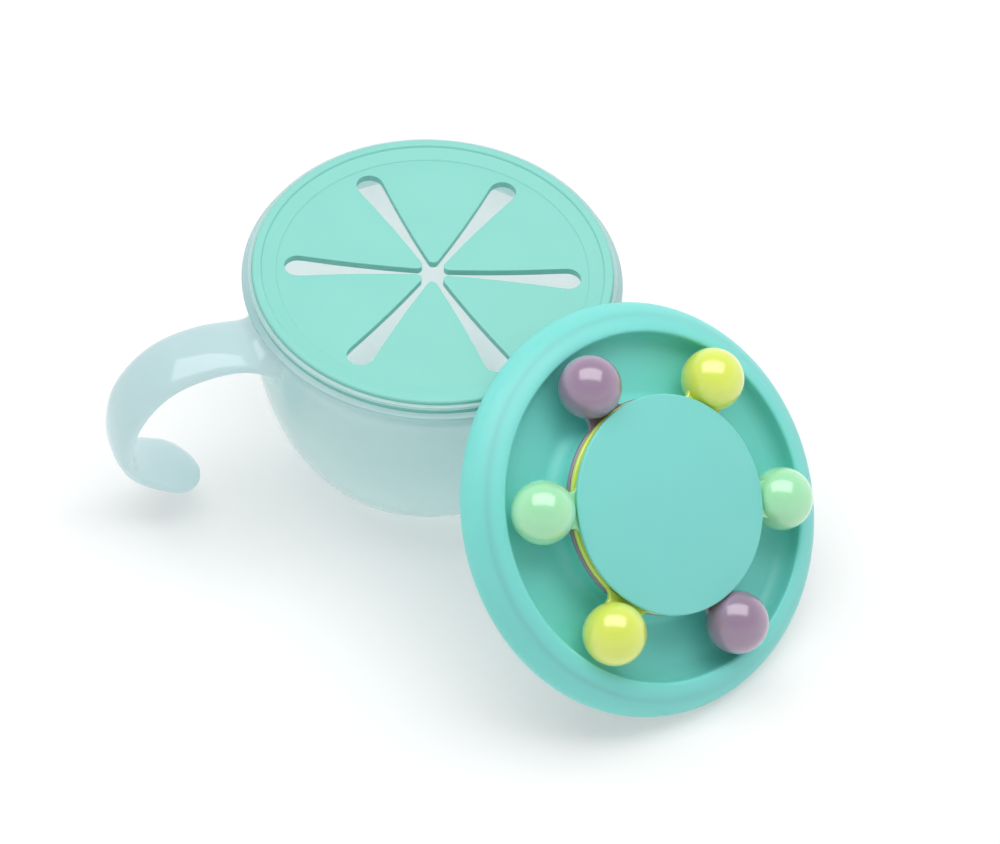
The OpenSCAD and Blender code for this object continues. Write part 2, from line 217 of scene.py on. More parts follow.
def pick(obj, test, domain="VERT"):
    """Selects the vertices, edges or faces that pass a test, in edit mode."""
    bpy.ops.mesh.select_all(action="DESELECT")
    bpy.ops.mesh.select_mode(type=domain)
    leave_edit()
    mesh = obj.data
    found = {"VERT": mesh.vertices, "EDGE": mesh.edges, "FACE": mesh.polygons}[domain]
    for item in found:
        item.select = bool(test(item))
    bpy.ops.object.mode_set(mode="EDIT")


def finish_mesh(obj, angle=35.0):
    """Closes seams and poles, turns the faces out and smooths all but the sharp edges."""
    edit(obj)
    select_all()
    bpy.ops.mesh.remove_doubles(threshold=0.002 * MM)
    bpy.ops.mesh.dissolve_degenerate(threshold=0.001 * MM)
    select_all()
    bpy.ops.mesh.normals_make_consistent(inside=False)
    leave_edit()
    bpy.ops.object.shade_smooth_by_angle(angle=math.radians(angle))
    return obj


def apply_modifiers(obj):
    select(obj)
    for modifier in list(obj.modifiers):
        bpy.ops.object.modifier_apply(modifier=modifier.name)


def apply_place(obj):
    select(obj)
    bpy.ops.object.transform_apply(location=True, rotation=True, scale=True)


def join(obj, *others):
    select(obj, *others)
    bpy.ops.object.join()


def remove(obj):
    select(obj)
    bpy.ops.object.delete()


def cut(obj, cutter):
    """Takes one solid out of another, and removes it."""
    modifier = obj.modifiers.new("cut", "BOOLEAN")
    modifier.operation = "DIFFERENCE"
    modifier.solver = "EXACT"
    modifier.object = cutter
    apply_modifiers(obj)
    remove(cutter)


def arc(x, y, r, start, end, steps=8):
    """Points round (x, y), from one angle to another in degrees."""
    angles = [math.radians(start + (end - start) * i / steps) for i in range(steps + 1)]
    return [(x + r * math.cos(a), y + r * math.sin(a)) for a in angles]


def draw(name, points):
    """A chain of edges in the XZ plane, extruded from one vertex point by point."""
    deselect_all()
    bpy.ops.mesh.primitive_plane_add(size=MM, location=(0, 0, 0))
    obj = bpy.context.object
    obj.name = name
    edit(obj)
    select_all()
    bpy.ops.mesh.merge(type="CENTER")
    bpy.ops.transform.translate(value=(points[0][0], 0, points[0][1]))
    for (x0, z0), (x1, z1) in zip(points, points[1:]):
        extrude(x1 - x0, 0, z1 - z0)
    leave_edit()
    return obj


def lathe(name, outline, steps=160, angle=35.0):
    """Spins a closed outline of (radius, height) points round Z."""
    closed = outline if outline[0][0] == 0 and outline[-1][0] == 0 else outline + [outline[0]]
    obj = draw(name, closed)
    edit(obj)
    select_all()
    bpy.ops.mesh.spin(steps=steps, angle=math.tau, center=(0, 0, 0), axis=(0, 0, 1))
    return finish_mesh(obj, angle)


def ribbon(name, points, columns, height):
    """A flat strip along X at a height, through points of (distance, half width)."""
    deselect_all()
    bpy.ops.mesh.primitive_grid_add(x_subdivisions=1, y_subdivisions=columns, size=2)
    strip = bpy.context.object
    strip.name = name
    edit(strip)
    pick(strip, lambda v: v.co.x < 0)
    bpy.ops.mesh.delete(type="VERT")
    select_all()
    x, y = points[0]
    bpy.ops.transform.translate(value=(x - 1, 0, height))
    bpy.ops.transform.resize(value=(1, y, 1), center_override=(0, 0, 0))
    for new_x, new_y in points[1:]:
        extrude(new_x - x, 0, 0)
        bpy.ops.transform.resize(value=(1, new_y / y, 1), center_override=(0, 0, 0))
        x, y = new_x, new_y
    return strip


def turn(angle, axis, centre):
    """Turns what is selected by the right-hand rule about an axis through a centre."""
    # With no window the operator turns the other way.
    bpy.ops.transform.rotate(
        value=-angle, orient_axis=axis, orient_type="GLOBAL", center_override=centre
    )


def round_edges(width):
    """Rounds the selected edges and leaves edit mode."""
    bpy.ops.mesh.bevel(offset=width, segments=3, affect="EDGES", clamp_overlap=True)
    leave_edit()


def on_lid(obj):
    """Puts a piece, made about the dish's mouth, on the leaning lid."""
    tilt = math.acos(LID_AXIS.z)
    heading = math.atan2(LID_AXIS.y, LID_AXIS.x)
    obj.rotation_euler = (0, tilt, heading)
    obj.location = LID_CENTRE
    apply_place(obj)


# ---- finishes ----
def add(tree, kind, values=(), links=(), **settings):
    """Adds a shader node with its settings, input values and input links."""
    made = tree.nodes.new(kind)
    for key, value in settings.items():
        setattr(made, key, value)
    for key, value in dict(values).items():
        made.inputs[key].default_value = value
    for key, source in dict(links).items():
        tree.links.new(source, made.inputs[key])
    return made


def noise(tree, place, size, detail, roughness):
    values = {"Scale": 1 / size, "Detail": detail, "Roughness": roughness}
    return add(tree, "ShaderNodeTexNoise", values, {"Vector": place}).outputs["Fac"]


def scaled(tree, value, from_min, from_max, to_min, to_max, **settings):
    """A value carried over from one range to another."""
    ends = {"From Min": from_min, "From Max": from_max, "To Min": to_min, "To Max": to_max}
    made = add(tree, "ShaderNodeMapRange", ends, {"Value": value}, **settings)
    return made.outputs["Result"]


MOTTLE_SIZE = 18 * MM


def plastic(name, tint, mottle, grain_mm, grain_height_mm):
    """An empty material, with the sockets of a moulded plastic's colour, which has a faint
    mottle, and of its surface's direction, which has the mould's spark-eroded grain."""
    material = bpy.data.materials.new(name)
    material.use_nodes = True
    tree = material.node_tree
    tree.nodes.clear()
    place = add(tree, "ShaderNodeTexCoord").outputs["Object"]
    flow = noise(tree, place, MOTTLE_SIZE, 2.0, 0.5)
    tone = scaled(tree, flow, 0.3, 0.7, 1 - mottle, 1 + mottle)
    body = add(tree, "ShaderNodeHueSaturation", {"Color": (*tint, 1)}, {"Value": tone})
    grain = noise(tree, place, grain_mm * MM, 3.0, 0.6)
    bump = add(tree, "ShaderNodeBump", {"Distance": grain_height_mm * MM}, {"Height": grain})
    return material, body.outputs["Color"], bump.outputs["Normal"]


def moulded(name, tint, surface, mottle, grain_mm, grain_height_mm):
    """A pigmented plastic, which light hardly goes through."""
    material, body, normal = plastic(name, tint, mottle, grain_mm, grain_height_mm)
    tree = material.node_tree
    shader = add(tree, "ShaderNodeBsdfPrincipled", surface, {"Base Color": body, "Normal": normal})
    add(tree, "ShaderNodeOutputMaterial", links={"Surface": shader.outputs["BSDF"]})
    return material


FROST_MOTTLE, FROST_GRAIN_MM = 0.01, 0.9


def frosted(name, tint, through, gloss, grain_height_mm):
    """A natural plastic. Where light enters the wall, part of it goes through scattered, and it
    leaves the wall freely on the far side. A smooth skin mirrors over that."""
    material, body, normal = plastic(name, tint, FROST_MOTTLE, FROST_GRAIN_MM, grain_height_mm)
    tree = material.node_tree
    back = add(tree, "ShaderNodeBsdfDiffuse", links={"Color": body})
    passed = add(tree, "ShaderNodeBsdfTranslucent", links={"Color": body})
    links = {1: back.outputs["BSDF"], 2: passed.outputs["BSDF"]}
    wall = add(tree, "ShaderNodeMixShader", {0: through}, links)
    surface = {"Color": (1, 1, 1, 1), "Roughness": gloss}
    skin = add(tree, "ShaderNodeBsdfGlossy", surface, {"Normal": normal})
    shine = add(tree, "ShaderNodeFresnel", {"IOR": 1.49})
    links = {0: shine.outputs["Fac"], 1: wall.outputs["Shader"], 2: skin.outputs["BSDF"]}
    front = add(tree, "ShaderNodeMixShader", links=links)
    far = add(tree, "ShaderNodeNewGeometry").outputs["Backfacing"]
    # On its way out through the wall, light loses a trace of red.
    leaving = add(tree, "ShaderNodeBsdfTransparent", {"Color": (0.98, 0.995, 0.995, 1)})
    links = {0: far, 1: front.outputs["Shader"], 2: leaving.outputs["BSDF"]}
    shader = add(tree, "ShaderNodeMixShader", links=links)
    add(tree, "ShaderNodeOutputMaterial", links={"Surface": shader.outputs["Shader"]})
    return material


def finish(obj, material):
    obj.data.materials.clear()
    obj.data.materials.append(material)


def deepen(material, thin, thick, across, begin, end, least=0.0):
    """Shades a plastic from its thin tint to its thick one, by the distance from the middle along
    the given axes, between two distances."""
    tree = material.node_tree
    place = add(tree, "ShaderNodeTexCoord").outputs["Object"]
    flat = add(tree, "ShaderNodeVectorMath", {1: across}, {0: place}, operation="MULTIPLY")
    links = {0: flat.outputs["Vector"]}
    away = add(tree, "ShaderNodeVectorMath", links=links, operation="LENGTH").outputs["Value"]
    share = scaled(tree, away, begin, end, least, 1, interpolation_type="SMOOTHSTEP")
    # The mix node has its sockets once for each data type: 6, 7 and output 2 are the colours.
    colours = {6: (*thin, 1), 7: (*thick, 1)}
    tint = add(tree, "ShaderNodeMix", colours, {0: share}, data_type="RGBA")
    body = next(node for node in tree.nodes if node.bl_idname == "ShaderNodeHueSaturation")
    tree.links.new(tint.outputs[2], body.inputs["Color"])
    return material


def cup_finish():
    # Natural polypropylene with a little blue: light goes through its walls and scatters, so the
    # cup glows evenly, bright inside, and deeper in colour where the ledge thickens its rim.
    tints, size = bpy.context.scene.snack_finish, bpy.context.scene.snack_cup
    material = frosted(
        "frosted_polypropylene", tints.cup, through=0.86, gloss=0.16, grain_height_mm=0.006
    )
    rim = size.rim_height
    return deepen(material, tints.cup, tints.strap, (0, 0, 1), rim - 3 * MM, rim + 1 * MM)


def strap_finish():
    # The cup's polypropylene where it is over twice as thick: deeper in tint away from the wall,
    # and the smooth crown of the strap shows the softbox with sharp edges.
    tints, size = bpy.context.scene.snack_finish, bpy.context.scene.snack_cup
    material = frosted(
        "thick_polypropylene", tints.strap, through=0.7, gloss=0.07, grain_height_mm=0.003
    )
    wall = size.radius
    return deepen(
        material, tints.cup, tints.strap, (1, 1, 0), wall + 1 * MM, wall + 9 * MM, least=0.55
    )


def ring_finish():
    # The same polypropylene, a little deeper in colour where flange and plug lie close together.
    tint = bpy.context.scene.snack_finish.ring
    return frosted(
        "clear_polypropylene", tint, through=0.7, gloss=0.14, grain_height_mm=0.006
    )


def trap_finish():
    # Thermoplastic elastomer, soft and matt, with a broad dull sheen.
    return moulded(
        "elastomer_tpe",
        bpy.context.scene.snack_finish.trap,
        {"Roughness": 0.55, "IOR": 1.47},
        mottle=0.012, grain_mm=0.6, grain_height_mm=0.01,
    )


def lid_finish():
    # Pigmented polypropylene with a satin mould finish: soft broad highlights on its curves, and
    # enough light in its wall to keep the trough's corners clear.
    return moulded(
        "satin_polypropylene",
        bpy.context.scene.snack_finish.lid,
        {
            "Roughness": 0.42,
            "IOR": 1.49,
            "Subsurface Weight": 0.4,
            "Subsurface Radius": (0.7, 1.0, 0.95),
            "Subsurface Scale": 4 * MM,
        },
        mottle=0.01, grain_mm=0.7, grain_height_mm=0.008,
    )


def cap_finish():
    # The lid's polypropylene against a coarser spark-eroded steel, so it looks flatter.
    return moulded(
        "matt_polypropylene",
        bpy.context.scene.snack_finish.cap,
        {
            "Roughness": 0.48,
            "IOR": 1.49,
            "Subsurface Weight": 0.12,
            "Subsurface Radius": (0.5, 1.0, 0.9),
            "Subsurface Scale": 1 * MM,
        },
        mottle=0.01, grain_mm=0.5, grain_height_mm=0.012,
    )


def rotor_finish(name, tint):
    # ABS from a polished mould, with a clear skin: sharp window highlights on the balls.
    return moulded(
        name,
        tint,
        {
            "Roughness": 0.22,
            "IOR": 1.65,
            "Coat Weight": 1.0,
            "Coat Roughness": 0.14,
            "Subsurface Weight": 0.1,
            "Subsurface Radius": (1.0, 1.0, 1.0),
            "Subsurface Scale": 1 * MM,
        },
        mottle=0.008, grain_mm=2.5, grain_height_mm=0.004,
    )


# ---- the pieces ----
def belly(size, z):
    """Radius of the cup's belly at a height."""
    return size.radius * math.sqrt(1 - ((size.belly_height - z) / size.belly_drop) ** 2)


def cup_outline(size):
    """The cup's section: belly on an ellipse, rounded bottom corner, thin ledge at the rim."""
    centre, drop, wall = size.belly_height, size.belly_drop, size.wall

    def normal(z):
        return Vector((belly(size, z) / size.radius**2, (z - centre) / drop**2)).normalized()

    lean = math.atan2(-normal(size.corner_height).y, normal(size.corner_height).x)
    corner = size.corner_height / (1 - math.sin(lean))
    foot = belly(size, size.corner_height) - corner * math.cos(lean)

    def skin(inset):
        reach = 90 - math.degrees(lean)
        low = arc(foot, corner, corner - inset, -90, -90 + reach, 10)
        high, steps = [], 24
        for i in range(1, steps + 1):
            z = size.corner_height + (centre - size.corner_height) * i / steps
            high.append((belly(size, z) - inset * normal(z).x, z - inset * normal(z).y))
        return low + high

    rim, ledge = size.rim_height, size.radius + size.ledge_out
    under = rim - size.ledge_thickness
    # The ledge's edge, the hollow under the ledge, and the recess inside the foot's ring.
    soft, hollow, recess = 0.3 * MM, 0.5 * MM, 0.4 * MM
    outside = (
        [(0, recess), (foot - 2.2 * MM, recess), (foot - 1.4 * MM, 0)]
        + skin(0)
        + arc(size.radius + hollow, under - hollow, hollow, 180, 90, 4)
        + arc(ledge - soft, under + soft, soft, -90, 0, 4)
        + arc(ledge - soft, rim - soft, soft, 0, 90, 4)
    )
    inside = [(size.radius - wall, rim)] + skin(wall)[::-1] + [(0, wall)]
    return outside + inside


def handle_path(size, shares):
    """Points and slopes at shares of the strap's centre line, a cubic B-spline that leaves the
    cup's wall and hooks round."""
    radius, top, low, reach = size.radius, size.handle_top, size.handle_low, size.reach
    points = [
        Vector(p)
        for p in (
            (radius - 5 * MM, top - 6 * MM),
            (radius + 6.8 * MM, top - 0.4 * MM),
            (radius + 17.8 * MM, top),
            (reach - 11.5 * MM, top - 2.9 * MM),
            (reach - 2 * MM, top - 14.8 * MM),
            (reach, top - 25 * MM),
            (reach - 0.4 * MM, low + 9.8 * MM),
            (radius + size.tip_gap, low),
        )
    ]
    points = [2 * points[0] - points[1], *points, 2 * points[-1] - points[-2]]
    spans = len(points) - 3

    def at(share):
        i = min(int(share * spans), spans - 1)
        t = share * spans - i
        a, b, c, d = points[i : i + 4]
        place = (
            a * (1 - t) ** 3
            + b * (3 * t**3 - 6 * t**2 + 4)
            + c * (-3 * t**3 + 3 * t**2 + 3 * t + 1)
            + d * t**3
        ) / 6
        slope = (
            a * -3 * (1 - t) ** 2
            + b * (9 * t**2 - 12 * t)
            + c * (-9 * t**2 + 6 * t + 3)
            + d * 3 * t**2
        )
        return place, math.atan2(slope.y, slope.x)

    return [at(share) for share in shares]


# Shares of the handle's centre line: where its root ends, where its round tip begins, how far
# the root flares, and where the tip is widest and how wide that swelling spreads.
ROOT_END, TIP_START = 0.14, 0.94
FLARE_END = 0.2
BULB_PLACE, BULB_SPREAD = 0.95, 0.05
# Rings of vertices along the root, the bend and the tip.
ROOT_RINGS, BEND_RINGS, TIP_RINGS = 26, 48, 10
# The tip rounds off through this angle, to this share of the strap's thickness.
TIP_ANGLE = math.radians(86)
TIP_THICKNESS = 0.35
# A power under 1 fills out the section's shoulders.
SHOULDER_POWER = 0.88


class SNACK_OT_cup(bpy.types.Operator):
    """Models the cup and its hooked handle"""

    bl_idname = "snack.cup"
    bl_label = "Cup"

    def execute(self, context):
        size = context.scene.snack_cup
        cup = lathe("cup_and_handle", cup_outline(size))
        handle = self.strap(size)
        self.swell_root(size, handle)
        # The strap ends inside the cup's wall, on a plain barrel a little under the belly.
        bpy.ops.mesh.primitive_cylinder_add(
            vertices=160, radius=size.radius - 0.6 * size.wall, depth=4 * size.rim_height
        )
        cut(handle, bpy.context.object)
        finish_mesh(handle, 60)
        finish(cup, cup_finish())
        finish(handle, strap_finish())
        join(cup, handle)
        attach(cup, "cup")
        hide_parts("cup_body")
        return {"FINISHED"}

    def strap(self, size):
        """A section crowned outside and flatter inside, extruded along the handle's centre line."""
        bend = TIP_START - ROOT_END
        rounding = [TIP_ANGLE * i / TIP_RINGS for i in range(TIP_RINGS + 1)]
        shares = [ROOT_END * i / ROOT_RINGS for i in range(ROOT_RINGS)]
        shares += [ROOT_END + bend * i / BEND_RINGS for i in range(BEND_RINGS)]
        shares += [TIP_START + (1 - TIP_START) * math.sin(a) for a in rounding]
        ends = [1.0] * (ROOT_RINGS + BEND_RINGS) + [math.cos(a) for a in rounding]
        path = handle_path(size, shares)
        start, heading = path[0]

        def half_width(share):
            flare = size.root_flare * max(0, 1 - share / FLARE_END) ** 2
            bulb = size.strap_bulb * math.exp(-(((share - BULB_PLACE) / BULB_SPREAD) ** 2))
            return (size.strap_width + flare + bulb) / 2

        def squared(part):
            return math.copysign(abs(part) ** SHOULDER_POWER, part)

        deselect_all()
        bpy.ops.mesh.primitive_circle_add(vertices=48, radius=1, fill_type="NGON")
        strap = bpy.context.object
        strap.name = "strap"
        wide, thick = half_width(0), 1.0
        shoulder = size.strap_crown - size.strap_out
        for vertex in strap.data.vertices:
            side = size.strap_crown if vertex.co.x > 0 else size.strap_back
            vertex.co = (squared(vertex.co.x) * side - shoulder, squared(vertex.co.y) * wide, 0)
        edit(strap)
        select_all()
        # The section lies flat; it is stood up at right angles to the strap's heading.
        turn(-math.pi / 2 - heading, "Y", (0, 0, 0))
        bpy.ops.transform.translate(value=(start.x, 0, start.y))
        last = start
        for (place, slope), share, end in zip(path[1:], shares[1:], ends[1:]):
            extrude(place.x - last.x, 0, place.y - last.y)
            centre = (place.x, 0, place.y)
            turn(heading - slope, "Y", centre)
            new_wide = half_width(share) * end
            new_thick = TIP_THICKNESS + (1 - TIP_THICKNESS) * end
            thinner = new_thick / thick
            bpy.ops.transform.resize(
                value=(thinner, new_wide / wide, thinner), center_override=centre
            )
            wide, thick, heading, last = new_wide, new_thick, slope, place
        select_all()
        turn(math.pi, "Z", (0, 0, 0))
        leave_edit()
        return finish_mesh(strap, 60)

    def swell_root(self, size, strap):
        """Moves the strap's skin out along its normals into a fillet that ends inside the wall."""
        fillet, edge, sunk = size.fillet, 0.25 * MM, 0.7 * MM
        reach, beyond = 0.85 * fillet, -size.radius - 3 * fillet
        skin = [(vertex, vertex.co.copy(), vertex.normal.copy()) for vertex in strap.data.vertices]
        for vertex, place, normal in skin:
            far = place + reach * normal
            if far.x < beyond or not 0 < far.z < size.rim_height:
                continue
            off = abs(math.hypot(far.x, far.y) - belly(size, far.z) + sunk)
            off = min(max(off, edge), fillet)
            vertex.co = place + (fillet - math.sqrt(fillet**2 - (fillet - off) ** 2)) * normal
        edit(strap)
        pick(strap, lambda v: v.co.x > -size.radius - 1.5 * fillet)
        bpy.ops.mesh.vertices_smooth(factor=0.5, repeat=4)
        leave_edit()


# How far the sheet's middle lies under the flange's top.
SHEET_DROP = 0.7 * MM


def trap_levels(cup, size):
    """Heights of the seat on the flange's underside, the flange's top and the sheet's top."""
    seat = cup.rim_height + size.groove_height
    top = seat + size.flange_thickness
    return seat, top, top - SHEET_DROP


class SNACK_OT_trap_ring(bpy.types.Operator):
    """Models the hard ring that carries the finger trap"""

    bl_idname = "snack.trap_ring"
    bl_label = "Trap ring"

    def execute(self, context):
        cup, size = context.scene.snack_cup, context.scene.snack_trap
        seat, top, _ = trap_levels(cup, size)
        over = cup.rim_height + 0.05 * MM
        plug, edge = cup.radius - cup.wall - size.plug_fit, size.flange_radius
        inner, neck = plug - size.plug_wall, edge - size.groove_depth
        well = size.edge_radius + 0.1 * MM
        # Roundings of the plug's end, the groove's root and the flange's edge.
        end, root, soft = 0.5 * MM, 0.2 * MM, 0.35 * MM
        low = cup.rim_height - size.plug_depth + end
        outline = (
            arc(inner + end, low, end, 180, 270, 4)
            + arc(plug - end, low, end, 270, 360, 4)
            + [(plug, over), (neck, over)]
            + arc(neck + root, seat - root, root, 180, 90, 3)
            + arc(edge - soft, seat + soft, soft, -90, 0, 4)
            + arc(edge - soft, top - soft, soft, 0, 90, 4)
            + [(well, top), (well, seat), (inner, seat)]
        )
        ring = lathe("trap_ring_moulding", outline)
        finish(ring, ring_finish())
        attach(ring, "cup")
        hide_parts("trap_ring")
        return {"FINISHED"}


def slot_shape(size):
    """A flap's fixed points: its hinge line's distance, its tip's centre, its side's angle and
    outward normal, and where the side starts."""
    hinge = size.slot_radius * math.cos(math.radians(30))
    tip = Vector((size.tip_radius + size.tip_round, 0))
    end = Vector((hinge, size.slot_radius / 2))
    across = end - tip
    lean = math.asin((size.tip_round + size.slot_round) / across.length)
    angle = math.atan2(across.y, across.x) - lean
    side = Vector((math.cos(angle), math.sin(angle)))
    out = Vector((-side.y, side.x))
    return hinge, tip, angle, out, tip + size.tip_round * out


# How far outside its hinge line a flap meets the border.
SEAM = 1.2 * MM


def flap_edge(size):
    """Half widths of a flap from the seam outside its hinge to its round tip."""
    hinge, tip, angle, out, begin = slot_shape(size)
    slope = math.tan(angle)
    ended = Vector((hinge, begin.y + (hinge - begin.x) * slope))
    points = [(hinge + SEAM, ended.y + SEAM * slope)]
    steps = 24
    for i in range(steps + 1):
        t = i / steps
        p = ended + (begin - ended) * t + 4 * size.bow * t * (1 - t) * out
        points.append((p.x, p.y))
    side = math.degrees(angle) + 90
    points += arc(tip.x, tip.y, size.tip_round, side, 176, 7)[1:]
    return points


CUTTER_DEPTH = 12 * MM


class SNACK_OT_trap_sheet(bpy.types.Operator):
    """Models the soft sheet's border, with the slots' round ends and the raised edge"""

    bl_idname = "snack.trap_sheet"
    bl_label = "Trap sheet"

    def execute(self, context):
        cup, size = context.scene.snack_cup, context.scene.snack_trap
        seat, _, top = trap_levels(cup, size)
        low, edge = top - size.sheet, size.edge_radius
        inner = cup.radius - cup.wall - size.plug_fit - size.plug_wall - 0.2 * MM
        crest, rise = top + size.rise, size.rise_radius
        # From the edge inwards: a round lip, a fall to an apron, and a soft step at the rise.
        lip, fall = 0.75 * MM, 0.35 * MM
        outline = (
            [(0, low), (inner, low), (inner, seat), (edge, seat)]
            + arc(edge - lip, crest - lip, lip, 0, 90, 6)
            + arc(edge - 2.2 * MM, crest - fall, fall, 90, 150, 3)
            + [(edge - 2.75 * MM, crest - 0.62 * MM), (edge - 3.1 * MM, crest - 0.68 * MM)]
            + [(rise + 0.9 * MM, top + 0.34 * MM), (rise + 0.3 * MM, top + 0.28 * MM)]
            + [(rise, top), (rise - 0.6 * MM, top), (0, top)]
        )
        sheet = lathe("trap_border", outline, angle=32)
        hinge = slot_shape(size)[0]
        deselect_all()
        bpy.ops.mesh.primitive_cylinder_add(
            vertices=6,
            radius=(hinge + SEAM) / math.cos(math.radians(30)),
            depth=CUTTER_DEPTH,
            location=(0, 0, top),
            rotation=(0, 0, size.turn + math.radians(30)),
        )
        middle = bpy.context.object
        self.cut_ends(sheet, size, top)
        cut(sheet, middle)
        # The soft material comes through the hard ring and shows as a seal in its groove.
        neck = size.flange_radius - size.groove_depth
        inside, outside = neck - 0.3 * MM, neck + size.seal
        bottom, under = cup.rim_height + 0.1 * MM, seat - 0.05 * MM
        seal = lathe(
            "seal", [(inside, bottom), (outside, bottom), (outside, under), (inside, under)]
        )
        join(sheet, seal)
        finish_mesh(sheet, 32)
        finish(sheet, trap_finish())
        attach(sheet, "cup")
        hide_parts("trap_sheet")
        return {"FINISHED"}

    def cut_ends(self, sheet, size, top):
        """Cuts the slots' round ends."""
        for i in range(6):
            a = size.turn + math.radians(60 * i)
            deselect_all()
            bpy.ops.mesh.primitive_cylinder_add(
                vertices=48,
                radius=size.slot_round,
                depth=CUTTER_DEPTH,
                location=(size.slot_radius * math.cos(a), size.slot_radius * math.sin(a), top),
            )
            cut(sheet, bpy.context.object)


class SNACK_OT_flaps(bpy.types.Operator):
    """Models one soft flap and copies it round the trap"""

    bl_idname = "snack.flaps"
    bl_label = "Flaps"

    def execute(self, context):
        cup, size = context.scene.snack_cup, context.scene.snack_trap
        _, _, top = trap_levels(cup, size)
        first = self.flap(size, top)
        material = trap_finish()
        for number in range(1, 7):
            a = size.turn + math.radians(60 * number - 30)
            flap = first.copy()
            flap.data = first.data.copy()
            flap.name = "soft_flap_%d" % number
            context.scene.collection.objects.link(flap)
            flap.rotation_euler = (0, 0, a)
            apply_place(flap)
            finish(flap, material)
            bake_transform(flap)
            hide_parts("flap_%d" % number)
        remove(first)
        return {"FINISHED"}

    def flap(self, size, top):
        """One flap along X, its tip near the trap's middle."""
        points = flap_edge(size)
        flap = ribbon("flap", points, 10, top)
        leave_edit()
        finish_mesh(flap)
        thick = flap.modifiers.new("thickness", "SOLIDIFY")
        thick.thickness = size.sheet
        thick.offset = -1
        thick.use_even_offset = True
        apply_modifiers(flap)
        self.soften(flap, top, points[0][0])
        return finish_mesh(flap, 40)

    def soften(self, flap, top, seam):
        """Rounds the flap's upper edge all the way round except at the seam."""
        mesh = flap.data
        faces = {}
        for face in mesh.polygons:
            for key in face.edge_keys:
                faces.setdefault(key, []).append(face.normal.copy())

        def rim(edge):
            sides = faces.get(tuple(sorted(edge.vertices)), [])
            ends = [mesh.vertices[i].co for i in edge.vertices]
            high = all(abs(v.z - top) < TOUCH for v in ends)
            sharp = len(sides) == 2 and sides[0].dot(sides[1]) < 0.5
            return high and sharp and not all(abs(v.x - seam) < TOUCH for v in ends)

        edit(flap)
        pick(flap, rim, "EDGE")
        round_edges(0.3 * MM)


def lid_outline(size):
    """The lid's section: raised middle, trough, rolled edge and thin skirt."""
    wall, low = size.wall, size.trough_round - size.trough
    outer = (size.mouth - size.trough_round, low)
    inner = (size.island + size.trough_round, low)
    lip, skirt, foot = 0.8 * MM, size.radius - 1.9 * MM, 2 * MM

    def bead(r0, r1, top, height, steps=18):
        """A quarter of a superellipse, a little leaner than an ellipse."""
        made, power = [], 1.26
        for i in range(steps + 1):
            a = math.radians(90 * i / steps)
            out, down = math.sin(a) ** power, 1 - math.cos(a) ** power
            made.append((r0 + (r1 - r0) * out, top - height * down))
        return made

    dish = (
        [(0, size.island_height)]
        + arc(size.island - lip, size.island_height - lip, lip, 90, 0, 5)
        + arc(*inner, size.trough_round, 180, 270, 10)
        + arc(*outer, size.trough_round, -90, 0, 10)
        + arc(size.mouth + lip, -lip, lip, 180, 100, 5)
    )
    outside = bead(size.mouth + lip, size.radius, 0, size.bead)
    outside += arc(size.radius - foot, foot - size.depth, foot, 0, -90, 8)
    inside = (
        bead(size.mouth + wall, skirt, -wall, size.bead - wall)[::-1]
        + arc(*outer, size.trough_round + wall, 0, -90, 8)
        + arc(*inner, size.trough_round + wall, 270, 180, 8)
    )
    middle = [(size.island - wall, size.island_height - wall), (0, size.island_height - wall)]
    return dish + outside + [(skirt, -size.depth)] + inside + middle


class SNACK_OT_lid(bpy.types.Operator):
    """Models the snap lid with its trough, hub and snap wall"""

    bl_idname = "snack.lid"
    bl_label = "Lid"

    def execute(self, context):
        size, spin = context.scene.snack_lid, context.scene.snack_spinner
        shell = lathe("lid_moulding", lid_outline(size), steps=200, angle=40)
        top, low = -size.wall - 0.4 * MM, 0.4 * MM - size.depth
        face, back, hook = size.snap, size.snap + 1.3 * MM, size.snap - 0.6 * MM
        wall = lathe(
            "snap",
            [(face, top), (face, low + 1.8 * MM), (hook, low + 1.2 * MM), (hook, low + 0.7 * MM)]
            + [(face, low), (back, low), (back, top - 0.3 * MM)],
        )
        hole, soft = size.hub - size.hub_wall, 0.3 * MM
        foot = size.island_height - 0.8 * MM
        cap_z = size.island_height + spin.spacing + 3 * (spin.plate + spin.spacing)
        hub = lathe(
            "hub",
            [(hole, foot), (size.hub, foot), (size.hub, cap_z - soft)]
            + [(size.hub - soft, cap_z), (hole, cap_z)],
        )
        join(shell, wall, hub)
        on_lid(shell)
        finish(shell, lid_finish())
        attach(shell, "lid")
        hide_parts("lid_shell")
        return {"FINISHED"}


# Name, material slot, tint, how much smaller the ring is in millimetres, and turn in degrees.
ROTORS = [
    ("lower", "rotor_purple", "purple", 0.0, 184),
    ("middle", "rotor_yellow", "yellow", 0.1, 122),
    ("upper", "rotor_green", "green", 0.6, 62),
]


